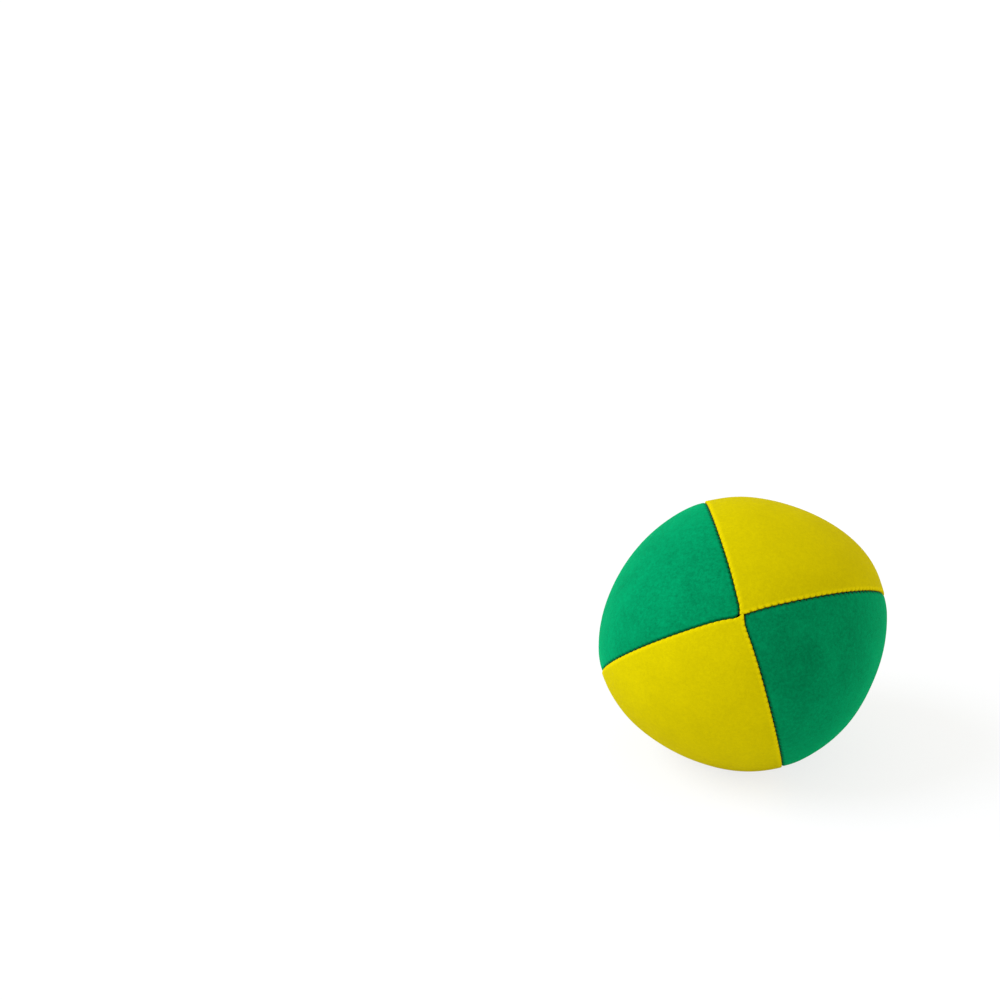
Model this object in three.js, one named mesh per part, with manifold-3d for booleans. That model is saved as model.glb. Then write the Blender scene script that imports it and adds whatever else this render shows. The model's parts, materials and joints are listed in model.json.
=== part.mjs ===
// Four panel juggling beanbag, lying on its lower yellow panel as it does in the photograph.
// It is sewn up as a round ball about the axis through its two poles, where the seams lie in
// two flat planes, and then laid down: turned, settled under its own weight and flattened
// where it meets the floor.

import * as THREE from 'three';
import { mergeVertices } from 'three/addons/utils/BufferGeometryUtils.js';
import Module from 'manifold-3d';

const wasm = await Module();
wasm.setup();

// Sizes of the whole bag, in millimetres
const BAG_DIAMETER = 65;
const CORNER_SHARE = 0.0155; // how far the seams stand out as soft corners
const STRETCH_SHARE = 0.02; // how much longer the bag is from side seam to side seam
const SQUASH_SHARE = 0.02; // how far the grain settles under its own weight
const FLOOR_SINK = 2; // how far the round underside is pressed flat
const FLOOR_BLEND = 0.5; // height over which the flat runs out into the round

// Sizes of the fabric
const FABRIC = 0.9;
const SEAM_ALLOWANCE = 6; // turned in at every seam, measured from the outer skin
const FOLD_RADIUS = 1;
const PANEL_GAP = 0.3; // between the two layers of a seam

// Sizes of the sewing
const THREAD_DIAMETER = 0.25;
const THREAD_CLEARANCE = 0.08;
const STITCH_LENGTH = 3;
const STITCH_DEPTH = 1.6; // of the stitch line under the skin
const THREAD_TAIL = 2.5; // left at each end of a run
const PAIR_SEAM_START = 2.8; // first stitch of a pair seam, measured from the pole
const FILLING_GAP = 34; // stretch of the ring seam that is sewn up by hand
const HAND_STITCH_LENGTH = 3;
const KNOT_DIAMETER = 1.1;

// Size of the grain
const GRAIN_CLEARANCE = 0.3;

// Angles in degrees
const POLE_TILT = 38; // front pole above the floor's level
const SEAM_ROLL = 18; // right seam above the level, seen from the front
const FILLING_GAP_CENTRE = 132; // from the front pole along the right seam

// Counts
const SKIN_STEPS = [24, 8]; // from pole to pole, and across a panel between its folds
const INSIDE_STEPS = [16, 5]; // the same on the inner faces and on the grain
const THREAD_SIDES = 3;
const KNOT_DETAIL = 1;

// Where the rows of the fold lie, as shares of its radius
const FOLD_SHARES = [0.25, 1];

// Values that follow from the sizes
const BAG_RADIUS = BAG_DIAMETER / 2;
const THREAD_RADIUS = THREAD_DIAMETER / 2;
const KNOT_RADIUS = KNOT_DIAMETER / 2;
const HALF_GAP = PANEL_GAP / 2;
const LAYER_FACE = HALF_GAP + FABRIC; // inner face of a seam layer, from the seam plane
const THREAD_LAY = LAYER_FACE + THREAD_CLEARANCE + THREAD_RADIUS;
const LEG_OFFSET = THREAD_DIAMETER; // of a stitch's legs from the middle of its hole
const HOOK_OFFSET = THREAD_RADIUS + THREAD_CLEARANCE; // of the hooked bars from the plane
const MITRE_RADIUS = THREAD_RADIUS * Math.SQRT2;
const HOLE_HALF = LEG_OFFSET + MITRE_RADIUS + THREAD_CLEARANCE;
const HAND_HOLE_HALF = MITRE_RADIUS + THREAD_CLEARANCE;
const FLOOR_LEVEL = BAG_RADIUS * (1 - SQUASH_SHARE) - FLOOR_SINK;
const SPREAD = 1 + SQUASH_SHARE / 2;
const QUARTER = Math.PI / 2;

// The outer skin of the round bag, as the distance from the centre in a given direction
function skinRadius(x, y, z) {
  const length = Math.hypot(x, y, z);
  const around = Math.atan2(y, x);
  const out = (x * x + y * y) / (length * length);
  return BAG_RADIUS * (1 + CORNER_SHARE * out * Math.cos(4 * around));
}

function pushTo(depth, x, y, z) {
  const scale = (skinRadius(x, y, z) - depth) / Math.hypot(x, y, z);
  return new THREE.Vector3(x * scale, y * scale, z * scale);
}

// How deep the fold at a seam lies under the skin, at a distance from the layer's face
function foldDepth(distance, radius) {
  const into = THREE.MathUtils.clamp(radius - distance, 0, radius);
  return radius - Math.sqrt(radius ** 2 - into ** 2);
}

// Closed rings of points between two end points, joined into one closed surface
function closedSurface(first, rings, last) {
  const points = [first, ...rings.flat(), last];
  const count = rings[0].length;
  const end = points.length - 1;
  const at = (ring, step) => 1 + ring * count + (step % count);
  const index = [];
  for (let step = 0; step < count; step++) {
    index.push(0, at(0, step), at(0, step + 1));
    for (let ring = 0; ring + 1 < rings.length; ring++) {
      index.push(at(ring, step), at(ring + 1, step), at(ring + 1, step + 1));
      index.push(at(ring, step), at(ring + 1, step + 1), at(ring, step + 1));
    }
    index.push(end, at(rings.length - 1, step + 1), at(rings.length - 1, step));
  }
  const geometry = new THREE.BufferGeometry();
  geometry.setAttribute('position', new THREE.Float32BufferAttribute(
    points.flatMap((point) => point.toArray()), 3));
  geometry.setIndex(index);
  return geometry;
}

// Turns a closed geometry into a solid that can be joined and cut
function solid(geometry) {
  const bare = geometry.clone();
  for (const name of Object.keys(bare.attributes)) {
    if (name !== 'position') bare.deleteAttribute(name);
  }
  const merged = mergeVertices(bare);
  return new wasm.Manifold(new wasm.Mesh({
    numProp: 3,
    vertProperties: new Float32Array(merged.attributes.position.array),
    triVerts: new Uint32Array(merged.index.array),
  }));
}

function joined(solids) {
  return solids.reduce((sum, next) => sum.add(next));
}

// One quarter of the bag between two seam planes, as deep and as far from them as asked
function quarterSolid(depth, inset, fold, [poleSteps, panelSteps]) {
  const radius = BAG_RADIUS - depth;
  const tip = Math.asin(Math.SQRT2 * inset / radius);
  const rings = [];
  for (let step = 1; step < poleSteps; step++) {
    const fromPole = tip + (Math.PI - 2 * tip) * step / poleSteps;
    const out = radius * Math.sin(fromPole);
    const low = Math.asin(inset / out);
    const middle = QUARTER / 2;
    const folds = fold > 0 ? FOLD_SHARES : [];
    const angles = [low, ...folds.map((share, row) => low + Math.min(
      Math.asin(Math.min(1, (inset + share * fold) / out)) - low,
      (middle - low) * (row + 1) / (folds.length + 1)))];
    const start = angles[angles.length - 1];
    const across = (QUARTER - 2 * start) / panelSteps;
    const inner = Array.from({ length: panelSteps - 1 }, (_, at) => start + across * (at + 1));
    const row = [...angles, ...inner, ...angles.map((angle) => QUARTER - angle).reverse()];
    const ring = row.map((angle) => {
      const x = out * Math.cos(angle);
      const y = out * Math.sin(angle);
      const sunk = Math.max(foldDepth(x - inset, fold), foldDepth(y - inset, fold));
      return pushTo(depth + sunk, x, y, radius * Math.cos(fromPole));
    });
    ring[0].y = inset;
    ring[ring.length - 1].x = inset;
    ring.push(new THREE.Vector3(inset, inset, ring[0].z));
    rings.push(ring);
  }
  const height = Math.sqrt((radius - fold) ** 2 - 2 * inset ** 2);
  const end = (side) => new THREE.Vector3(inset, inset, side * height);
  return solid(closedSurface(end(1), rings, end(-1)));
}

// The whole bag at a depth under its skin
function coreSolid(depth) {
  const radius = BAG_RADIUS - depth;
  const [poleSteps, panelSteps] = INSIDE_STEPS;
  const around = 4 * panelSteps;
  const rings = [];
  for (let step = 1; step < poleSteps; step++) {
    const fromPole = Math.PI * step / poleSteps;
    rings.push(Array.from({ length: around }, (_, at) => {
      const angle = 2 * Math.PI * at / around;
      return pushTo(depth, Math.sin(fromPole) * Math.cos(angle),
        Math.sin(fromPole) * Math.sin(angle), Math.cos(fromPole));
    }));
  }
  return solid(closedSurface(new THREE.Vector3(0, 0, radius), rings,
    new THREE.Vector3(0, 0, -radius)));
}

// A seam plane. A place in it is an angle from the front pole, and then distances along
// the seam, across the plane and deeper into the bag.
function seamPlane(out, across) {
  const place = (angle, along, aside, deeper) => {
    const outward = out.clone().multiplyScalar(Math.sin(angle)).setZ(Math.cos(angle));
    const forward = out.clone().multiplyScalar(Math.cos(angle)).setZ(-Math.sin(angle));
    const start = pushTo(STITCH_DEPTH, outward.x, outward.y, outward.z);
    return start.addScaledVector(forward, along).addScaledVector(across, aside)
      .addScaledVector(outward, -deeper);
  };
  return { out, across, place };
}

const RING_PLANE = seamPlane(new THREE.Vector3(1, 0, 0), new THREE.Vector3(0, 1, 0));
const UPPER_PLANE = seamPlane(new THREE.Vector3(0, 1, 0), new THREE.Vector3(1, 0, 0));
const LOWER_PLANE = seamPlane(new THREE.Vector3(0, -1, 0), new THREE.Vector3(-1, 0, 0));

// A row of evenly spread angles, as near to the asked length apart as fits
function spread(first, last, length) {
  const steps = Math.round((last - first) * (BAG_RADIUS - STITCH_DEPTH) / length);
  return Array.from({ length: steps + 1 }, (_, at) => first + (last - first) * at / steps);
}

// Where the stitches of each run lie
const HALF_STITCH = STITCH_LENGTH / 2 / (BAG_RADIUS - STITCH_DEPTH);
const PAIR_START = PAIR_SEAM_START / (BAG_RADIUS - STITCH_DEPTH);
const GAP_HALF = FILLING_GAP / 2 / (BAG_RADIUS - STITCH_DEPTH);
const GAP_CENTRE = THREE.MathUtils.degToRad(FILLING_GAP_CENTRE);
const PAIR_STITCHES = spread(PAIR_START, Math.PI - PAIR_START, STITCH_LENGTH);
const RING_STITCHES = [
  ...spread(GAP_CENTRE + GAP_HALF, Math.PI - HALF_STITCH, STITCH_LENGTH),
  ...spread(Math.PI + HALF_STITCH, 2 * Math.PI - HALF_STITCH, STITCH_LENGTH),
  ...spread(2 * Math.PI + HALF_STITCH, 2 * Math.PI + GAP_CENTRE - GAP_HALF, STITCH_LENGTH),
];
const HAND_EDGE = HAND_STITCH_LENGTH / (BAG_RADIUS - STITCH_DEPTH);
const HAND_STITCHES = spread(GAP_CENTRE - GAP_HALF + HAND_EDGE,
  GAP_CENTRE + GAP_HALF - HAND_EDGE, HAND_STITCH_LENGTH);

// Needle holes of a run, and where the ring seam's thread passes the pair seams' layers
function holeSolid(plane, angles, half) {
  const through = 2 * (LAYER_FACE + THREAD_CLEARANCE);
  const basis = new THREE.Matrix4();
  return joined(angles.map((angle) => {
    const centre = plane.place(angle, 0, 0, 0);
    const forward = plane.place(angle, half, 0, 0).sub(centre).normalize();
    basis.makeBasis(forward, plane.across, forward.clone().cross(plane.across));
    const hole = new THREE.BoxGeometry(2 * half, through, 2 * half);
    return solid(hole.applyMatrix4(basis).translate(...centre.toArray()));
  }));
}

function poleHoleSolid() {
  const half = MITRE_RADIUS + THREAD_CLEARANCE;
  return joined([1, -1].flatMap((end) => [1, -1].map((side) => {
    const centre = RING_PLANE.place(end > 0 ? 0 : Math.PI, 0, side * THREAD_LAY, 0);
    const hole = new THREE.BoxGeometry(2 * (LAYER_FACE + THREAD_CLEARANCE), 2 * half, 2 * half);
    return solid(hole.translate(...centre.toArray()));
  })));
}

// A thread of few flat sides along straight pieces, mitred where they meet
function threadGeometry(points) {
  const ways = points.slice(1).map((point, at) => point.clone().sub(points[at]).normalize());
  const first = ways[0];
  const aside = new THREE.Vector3(first.y, first.z, first.x).cross(first).normalize();
  const beside = first.clone().cross(aside);
  let ring = Array.from({ length: THREAD_SIDES }, (_, side) => {
    const angle = 2 * Math.PI * side / THREAD_SIDES;
    return points[0].clone().addScaledVector(aside, THREAD_RADIUS * Math.cos(angle))
      .addScaledVector(beside, THREAD_RADIUS * Math.sin(angle));
  });
  const rings = [ring];
  ways.forEach((way, at) => {
    const target = points[at + 1];
    const mitre = way.clone().add(ways[at + 1] ?? way).normalize();
    ring = ring.map((point) => point.clone().addScaledVector(way,
      target.clone().sub(point).dot(mitre) / way.dot(mitre)));
    rings.push(ring);
  });
  return closedSurface(points[0], rings.map((row) => [...row].reverse()),
    points[points.length - 1]);
}

// One thread of a lockstitch. The needle thread lies on one layer and the bobbin thread on
// the other, and their loops hook into each other in the holes, crossing like an X.
function lockstitchSolid(plane, angles, side) {
  const legs = [-LEG_OFFSET, LEG_OFFSET];
  const points = angles.flatMap((angle) => {
    const at = (leg, aside) => plane.place(angle, leg, side * aside, side * leg);
    return [at(legs[0], THREAD_LAY), ...legs.map((leg) => at(leg, -HOOK_OFFSET)),
      at(legs[1], THREAD_LAY)];
  });
  const tail = (angle, leg) => plane.place(angle, leg, side * THREAD_LAY,
    side * leg + THREAD_TAIL);
  return solid(threadGeometry([tail(angles[0], legs[0]), ...points,
    tail(angles[angles.length - 1], legs[1])]));
}

// The knots inside, at both ends of the hand sewn stretch
function knotPlaces() {
  const last = HAND_STITCHES.length - 1;
  return [[HAND_STITCHES[0], 1], [HAND_STITCHES[last], last % 2 ? 1 : -1]].map(
    ([angle, side]) => RING_PLANE.place(angle, 0,
      side * (LAYER_FACE + THREAD_CLEARANCE + KNOT_RADIUS), THREAD_TAIL));
}

function knotSolids(radius) {
  return knotPlaces().map((place) => solid(
    new THREE.IcosahedronGeometry(radius, KNOT_DETAIL).translate(...place.toArray())));
}

// The hand sewn ladder that closes the filling gap
function closingThreadSolid() {
  const points = HAND_STITCHES.flatMap((angle, at) => {
    const side = at % 2 ? -1 : 1;
    return [RING_PLANE.place(angle, 0, side * THREAD_LAY, 0),
      RING_PLANE.place(angle, 0, -side * THREAD_LAY, 0)];
  });
  const [first, last] = knotPlaces();
  return joined([solid(threadGeometry([first, ...points, last])), ...knotSolids(KNOT_RADIUS)]);
}

// A panel: skin and turned in seam layers, without what lies inside them, with its holes
function panelSolid(quarter, holes) {
  const turn = 90 * quarter;
  const outer = quarterSolid(0, HALF_GAP, FOLD_RADIUS, SKIN_STEPS).rotate([0, 0, turn]);
  const inner = quarterSolid(FABRIC, LAYER_FACE, 0, INSIDE_STEPS).rotate([0, 0, turn]);
  return outer.subtract(inner).subtract(coreSolid(SEAM_ALLOWANCE)).subtract(holes);
}

// The grain fills the ball and presses in between the seam layers, clear of their threads
function fillSolid() {
  const inset = THREAD_LAY + THREAD_RADIUS + GRAIN_CLEARANCE;
  const lobe = quarterSolid(FABRIC + GRAIN_CLEARANCE, inset, 0, INSIDE_STEPS);
  const lobes = [0, 1, 2, 3].map((quarter) => lobe.rotate([0, 0, 90 * quarter]));
  return joined([coreSolid(SEAM_ALLOWANCE + GRAIN_CLEARANCE), ...lobes])
    .subtract(joined(knotSolids(KNOT_RADIUS + GRAIN_CLEARANCE)));
}

// Laying the bag down
const STRETCH = new THREE.Vector3(1 + STRETCH_SHARE, 1 - STRETCH_SHARE, 1);
const LAY_DOWN = new THREE.Matrix4().makeRotationX(Math.PI / 2
  - THREE.MathUtils.degToRad(POLE_TILT))
  .multiply(new THREE.Matrix4().makeRotationZ(THREE.MathUtils.degToRad(SEAM_ROLL)));

function layDown(point) {
  const depth = skinRadius(point.x, point.y, point.z) - point.length();
  const laid = point.clone().multiply(STRETCH).applyMatrix4(LAY_DOWN);
  laid.set(laid.x * SPREAD, laid.y * SPREAD, laid.z * (1 - SQUASH_SHARE));
  const under = depth - FLOOR_LEVEL - laid.z;
  if (under > FLOOR_BLEND) laid.z += under;
  else if (under > -FLOOR_BLEND) laid.z += (under + FLOOR_BLEND) ** 2 / (4 * FLOOR_BLEND);
  laid.z += FLOOR_LEVEL;
  return laid;
}

function laidGeometry(shape) {
  const { numProp, vertProperties, triVerts } = shape.getMesh();
  const places = [];
  for (let at = 0; at < vertProperties.length; at += numProp) {
    places.push(...layDown(new THREE.Vector3().fromArray(vertProperties, at)).toArray());
  }
  const geometry = new THREE.BufferGeometry();
  geometry.setAttribute('position', new THREE.Float32BufferAttribute(places, 3));
  geometry.setIndex(Array.from(triVerts));
  geometry.computeVertexNormals();
  return geometry;
}

// Materials
const suede = (color) => () => new THREE.MeshStandardMaterial({
  color, roughness: 0.9, metalness: 0 });
const greenSuede = suede(0x0e9a61);
const yellowSuede = suede(0xe0cc10);
const polyesterThread = () => new THREE.MeshStandardMaterial({
  color: 0x1f2a26, roughness: 0.6, metalness: 0 });
const milletGrain = () => new THREE.MeshStandardMaterial({
  color: 0xd9b866, roughness: 0.7, metalness: 0 });

function addPiece(bag, name, shape, material) {
  const mesh = new THREE.Mesh(laidGeometry(shape), material());
  mesh.name = name;
  bag.add(mesh);
}

function addPanels(bag) {
  const holes = joined([
    holeSolid(RING_PLANE, RING_STITCHES, HOLE_HALF),
    holeSolid(RING_PLANE, HAND_STITCHES, HAND_HOLE_HALF),
    holeSolid(UPPER_PLANE, PAIR_STITCHES, HOLE_HALF),
    holeSolid(LOWER_PLANE, PAIR_STITCHES, HOLE_HALF),
    poleHoleSolid(),
  ]);
  addPiece(bag, 'yellow_panel_top', panelSolid(0, holes), yellowSuede);
  addPiece(bag, 'green_panel_left', panelSolid(1, holes), greenSuede);
  addPiece(bag, 'yellow_panel_bottom', panelSolid(2, holes), yellowSuede);
  addPiece(bag, 'green_panel_right', panelSolid(3, holes), greenSuede);
}

function addThreads(bag) {
  const runs = [['ring_seam', RING_PLANE, RING_STITCHES],
    ['upper_seam', UPPER_PLANE, PAIR_STITCHES], ['lower_seam', LOWER_PLANE, PAIR_STITCHES]];
  for (const [name, plane, angles] of runs) {
    addPiece(bag, `${name}_needle_thread`, lockstitchSolid(plane, angles, 1), polyesterThread);
    addPiece(bag, `${name}_bobbin_thread`, lockstitchSolid(plane, angles, -1), polyesterThread);
  }
  addPiece(bag, 'closing_thread', closingThreadSolid(), polyesterThread);
}

const bag = new THREE.Group();
bag.name = 'juggling_beanbag';
addPanels(bag);
addThreads(bag);
addPiece(bag, 'millet_fill', fillSolid(), milletGrain);

export default bag;
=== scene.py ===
"""A four panel juggling beanbag of brushed suede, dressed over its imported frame.

The bag is shaped as a round ball about the axis through its two poles, where the seams lie
in two flat planes, and is then laid down on the floor, as the frame's solids are.
"""

import json
import math
import bmesh
import bpy
import numpy as np
from bpy.props import FloatProperty, FloatVectorProperty, IntProperty, PointerProperty
from mathutils import Euler, Matrix, Vector, noise

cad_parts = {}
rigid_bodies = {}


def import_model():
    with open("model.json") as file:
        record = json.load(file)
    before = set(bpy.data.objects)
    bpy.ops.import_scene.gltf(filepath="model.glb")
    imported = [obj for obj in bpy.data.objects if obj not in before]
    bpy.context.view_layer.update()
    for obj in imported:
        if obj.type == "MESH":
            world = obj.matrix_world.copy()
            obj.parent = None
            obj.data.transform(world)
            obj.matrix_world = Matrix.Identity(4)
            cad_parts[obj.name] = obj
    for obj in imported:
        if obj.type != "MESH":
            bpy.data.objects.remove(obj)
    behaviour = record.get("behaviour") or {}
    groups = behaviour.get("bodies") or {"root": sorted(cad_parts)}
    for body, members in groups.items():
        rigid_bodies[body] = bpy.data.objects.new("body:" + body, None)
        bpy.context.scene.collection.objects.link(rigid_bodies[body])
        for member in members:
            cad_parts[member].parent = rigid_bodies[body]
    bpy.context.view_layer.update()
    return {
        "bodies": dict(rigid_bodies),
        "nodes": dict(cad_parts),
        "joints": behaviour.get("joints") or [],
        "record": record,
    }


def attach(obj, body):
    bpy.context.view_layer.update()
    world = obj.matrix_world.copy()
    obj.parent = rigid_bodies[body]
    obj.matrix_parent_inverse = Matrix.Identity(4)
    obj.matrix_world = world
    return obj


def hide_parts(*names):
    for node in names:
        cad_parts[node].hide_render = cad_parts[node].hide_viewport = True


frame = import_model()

bl_info = {
    "name": "Juggling beanbag",
    "version": (1, 0, 0),
    "blender": (4, 5, 0),
    "location": "3D View > Sidebar > Beanbag",
    "description": "Sews, fills and lights a four panel juggling beanbag",
    "category": "Add Mesh",
}

QUARTER = math.pi / 2


def linear(hex_colour):
    """An sRGB hex value as linear red, green and blue."""
    parts = [int(hex_colour[at : at + 2], 16) / 255 for at in (1, 3, 5)]
    return tuple(c / 12.92 if c <= 0.04045 else ((c + 0.055) / 1.055) ** 2.4 for c in parts)


# Sizes and colours that a user would change


def length(name, description, default):
    return FloatProperty(
        name=name, description=description, default=default, min=0, precision=5,
        subtype="DISTANCE", unit="LENGTH",
    )


def angle(name, description, degrees):
    return FloatProperty(
        name=name, description=description, default=math.radians(degrees),
        subtype="ANGLE", unit="ROTATION",
    )


def share(name, description, default):
    return FloatProperty(name=name, description=description, default=default, subtype="FACTOR")


def colour(name, description, hex_colour):
    return FloatVectorProperty(
        name=name, description=description, default=linear(hex_colour), size=3, min=0, max=1,
        subtype="COLOR",
    )


class BagShape(bpy.types.PropertyGroup):
    """The form of the whole bag."""

    diameter: length("Diameter", "Mean width of the stuffed bag", 0.065)
    corner: share("Corner", "How far the seams stand out as soft corners", 0.0155)
    stretch: share("Stretch", "How much longer the bag is from side seam to side seam", 0.02)
    squash: share("Squash", "How far the grain settles under its own weight", 0.02)
    floor_sink: length("Floor sink", "How far the underside is pressed flat", 0.002)
    floor_blend: length("Floor blend", "Height over which the flat runs out", 0.0005)
    pole_tilt: angle("Pole tilt", "Front pole above the floor's level", 38)
    seam_roll: angle("Seam roll", "Right seam above the level, from the front", 18)
    shoulder: length("Shoulder", "How far the seams draw the skin in beside them", 0.00016)
    waviness: length("Waviness", "Height of the broad swells that the grain makes", 0.00014)
    swell: length("Swell", "Width of those swells", 0.013)
    gather: length("Gather", "Most that the blown cloth's gathers may stand up", 0.00012)
    gather_share: share("Gather share", "Part of the blown cloth's gathers that is kept", 0.6)
    seam_shrink: share("Seam shrink", "How much the stitching shortens a seam", 0.05)
    junction_step: length("Junction step", "Halves' shift along their seam at the poles", 0.00035)
    junction_reach: length("Junction reach", "How far from the poles that shift runs out", 0.0016)
    pole_drift: length("Pole drift", "How far the front junction sits off its place", 0.00046)
    seam_sag: length("Seam sag", "Bow of the ring seam beside the poles", 0.0004)


class SuedeCloth(bpy.types.PropertyGroup):
    """The brushed suede and how it is folded at the seams."""

    thickness: length("Thickness", "Of the suede", 0.0009)
    allowance: length("Seam allowance", "Turned in at every seam, from the skin", 0.006)
    yellow_fold: length("Yellow fold", "Radius of a yellow edge's turn into a seam", 0.00028)
    green_fold: length("Green fold", "Radius of a green edge, which lies under", 0.00050)
    layer_gap: length("Layer gap", "Between the two layers of a seam", 0.00008)
    yellow_scallop: share("Yellow scallop", "How much rounder a stitch makes the fold", 2.0)
    green_scallop: share("Green scallop", "The same for the green folds", 0.8)
    overhang: length("Overhang", "How far the yellow edges stand over the green", 0.00028)
    pinch: length("Stitch pinch", "How far a stitch draws the fold in", 0.00012)
    gape: length("Seam gape", "How far a fold stands off between its stitches", 0.00001)
    pucker: length("Pucker", "Height of the small gathers across the seams", 0.00007)
    tip_tuck: length("Tip tuck", "How far the green tips are tucked back at the poles", 0.00035)
    tip_reach: length("Tip reach", "How far the yellow tips reach in at the poles", 0.00007)
    green_light: colour("Light green", "Of the green nap's pale tufts", "#009059")
    green_dark: colour("Dark green", "Of the green nap's dark tufts", "#00693F")
    # Painted shade along the green folds, where they lie under the yellow ones
    green_edge: colour("Shaded green fold", "Of the green folds", "#005C38")
    green_edge_width: length("Shaded green fold width", "How far that goes from a seam", 0.0008)
    green_bloom: share("Green bloom", "Glow of the green nap where it is seen edge on", 0.44)
    # Depth in a green fold at which the groove's painted shade starts
    green_shade: length("Green shade", "Depth in a green fold where its shadow starts", 0.00010)
    yellow_light: colour("Light yellow", "Of the yellow nap's pale tufts", "#D0BF00")
    yellow_dark: colour("Dark yellow", "Of the yellow nap's dark tufts", "#BFAF00")
    # Painted highlight along the yellow folds, where their rounded edges face the light
    yellow_edge: colour("Highlighted yellow fold", "Of the yellow folds", "#DAC600")
    yellow_edge_width: length("Highlighted yellow fold width", "How far that goes from a seam", 0.0012)
    yellow_bloom: share("Yellow bloom", "Glow of the yellow nap where it is seen edge on", 0.0)
    # Depth in a yellow fold at which the groove's painted shade starts
    yellow_shade: length("Yellow shade", "The same for the yellow folds", 0.00026)


class Sewing(bpy.types.PropertyGroup):
    """The stitches and their thread."""

    stitch_length: length("Stitch length", "Of the machine lockstitch", 0.0015)
    stitch_depth: length("Stitch depth", "Of the stitch line under the skin", 0.00082)
    thread: length("Thread", "Diameter of the twisted thread", 0.00026)
    ply_turn: length("Ply turn", "Length of one turn of the thread's plies", 0.0009)
    tail: length("Tail", "Left at each end of a run", 0.0025)
    pair_start: length("Pair seam start", "First stitch of a pair seam, from the pole", 0.0011)
    hand_stitch: length("Hand stitch", "Length of the hand sewn ladder's steps", 0.0030)
    filling_gap: length("Filling gap", "Stretch that is sewn up by hand", 0.034)
    gap_centre: angle("Filling gap centre", "From the front pole along the right seam", 132)
    knot: length("Knot", "Width of the knots on the closing thread", 0.0011)
    thread_colour: colour("Thread colour", "Of the sewing thread", "#101A16")


class MilletGrain(bpy.types.PropertyGroup):
    """The grain inside the bag."""

    grain: length("Grain", "Width of one grain of millet", 0.0018)
    spacing: length("Spacing", "Least distance between neighbouring grains", 0.0015)
    seed: IntProperty(name="Seed", description="Of the grains' places", default=7)
    husk: colour("Husk", "Colour of the darkest grains", "#B98A3A")
    kernel: colour("Kernel", "Colour of the palest grains", "#EBD089")


class Studio(bpy.types.PropertyGroup):
    """The camera and the light."""

    distance: length("Distance", "From the camera to the bag", 0.8)
    elevation: angle("Elevation", "Of the camera, seen from the bag", 29)
    swing: angle("Swing", "Of the camera's axis to the left of the bag", 4.612)
    pitch: angle("Pitch", "Of the camera's axis below the level", 26.851)
    lens: FloatProperty(
        name="Lens", description="Focal length", default=123.98, subtype="DISTANCE_CAMERA"
    )
    key: share("Key", "Light from the large softbox, as a share of full daylight", 0.89)
    key_tint: colour("Key tint", "Of that softbox's light", "#DFE8FF")
    key_side: angle("Key side", "Way round to the softbox from the camera's side", -85)
    key_height: angle("Key height", "Of the softbox above the level", 40)
    rim: share("Rim", "Light from the low softbox behind, as the same share", 0.24)
    rim_tint: colour("Rim tint", "Of that softbox's light", "#FFFDF5")
    rim_side: angle("Rim side", "Way round to the low softbox from the camera's side", 120)
    rim_height: angle("Rim height", "Of the low softbox above the level", 8)
    softness: angle("Softness", "How wide each softbox looks from the bag", 42)
    ambient: share("Ambient", "Light that comes evenly from all round", 0.76)
    ambient_tint: colour("Ambient tint", "Of the light from all round", "#FFFDF5")


class BagSettings(bpy.types.PropertyGroup):
    """Everything that can be set on the bag."""

    shape: PointerProperty(type=BagShape, name="Shape", description="Form of the bag")
    cloth: PointerProperty(type=SuedeCloth, name="Suede", description="The suede panels")
    sewing: PointerProperty(type=Sewing, name="Sewing", description="Stitches and thread")
    millet: PointerProperty(type=MilletGrain, name="Millet", description="The filling")
    studio: PointerProperty(type=Studio, name="Studio", description="Camera and light")


# The form of the bag


def bell(distance, width):
    """A share that falls from 1 at no distance to near 0 at about twice the width."""
    return np.exp(-((distance / width) ** 2))


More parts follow.
